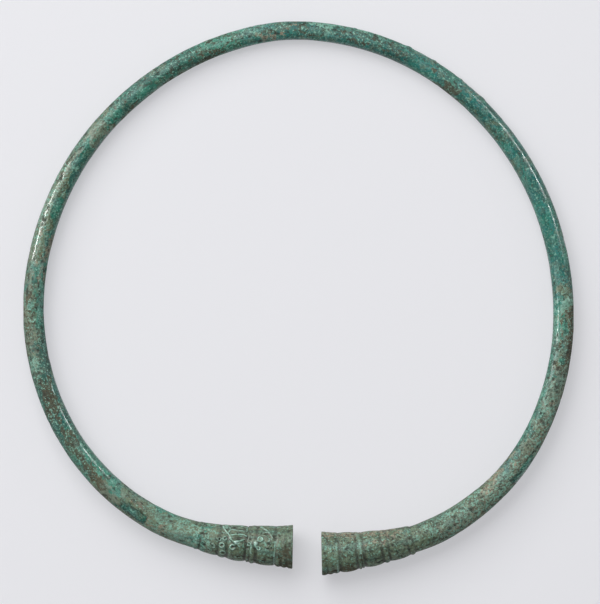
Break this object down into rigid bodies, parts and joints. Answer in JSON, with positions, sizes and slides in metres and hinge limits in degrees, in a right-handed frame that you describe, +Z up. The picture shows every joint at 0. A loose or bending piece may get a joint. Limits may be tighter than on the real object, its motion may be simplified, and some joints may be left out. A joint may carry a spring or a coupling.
{
  "type": "bronze torc",
  "caption": "Open cast bronze neck ring: a round bar that swells into moulded terminals with worn relief and flat round end faces, under green patina.",
  "frame": {"origin": "centre of the bounding box at its bottom, which is the surface that the ring lies on", "axes": "+Z up, out of the plane of the ring; +Y from the opening between the terminals towards the back of the neck; the terminal with relief is at -X of the opening"},
  "size_m": [0.1508, 0.1518, 0.0119],
  "materials": {
    "patinated_bronze": "corroded bronze under a mottled green and brown patina, satin where it is smooth and rough where it is pitted"
  },
  "bodies": {
    "root": {"torc": "patinated_bronze"}
  },
  "joints": []
}
